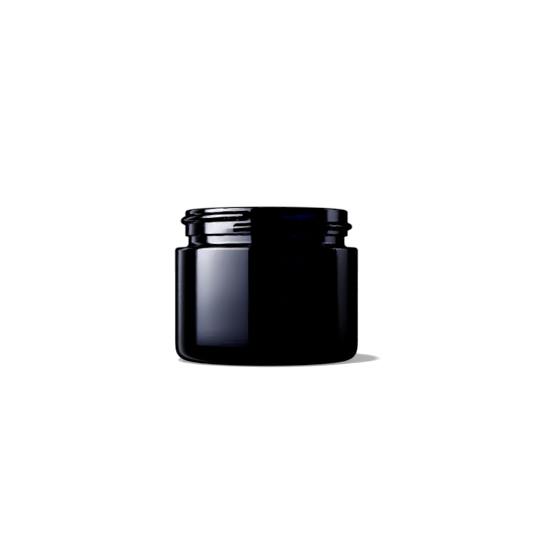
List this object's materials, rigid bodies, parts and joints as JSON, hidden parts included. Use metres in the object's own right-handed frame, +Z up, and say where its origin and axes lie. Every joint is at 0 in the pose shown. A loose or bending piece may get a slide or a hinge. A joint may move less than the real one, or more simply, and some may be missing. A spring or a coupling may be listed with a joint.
{
  "type": "cosmetic cream jar",
  "caption": "Low round cream jar in dark violet glass: straight sides, soft heel, flat shoulder, and a wide open neck with a round bead thread. Without its cap.",
  "frame": {"origin": "centre of the base, on the plane of the flat ring that the jar stands on", "axes": "+Z up along the jar's axis, out of the mouth; -Y is the front, where the thread bead starts just left of the middle; +X is to the right"},
  "size_m": [0.06, 0.06, 0.0489],
  "materials": {
    "violet_glass": "polished"
  },
  "bodies": {
    "root": {"glass_jar": "violet_glass"}
  },
  "joints": []
}
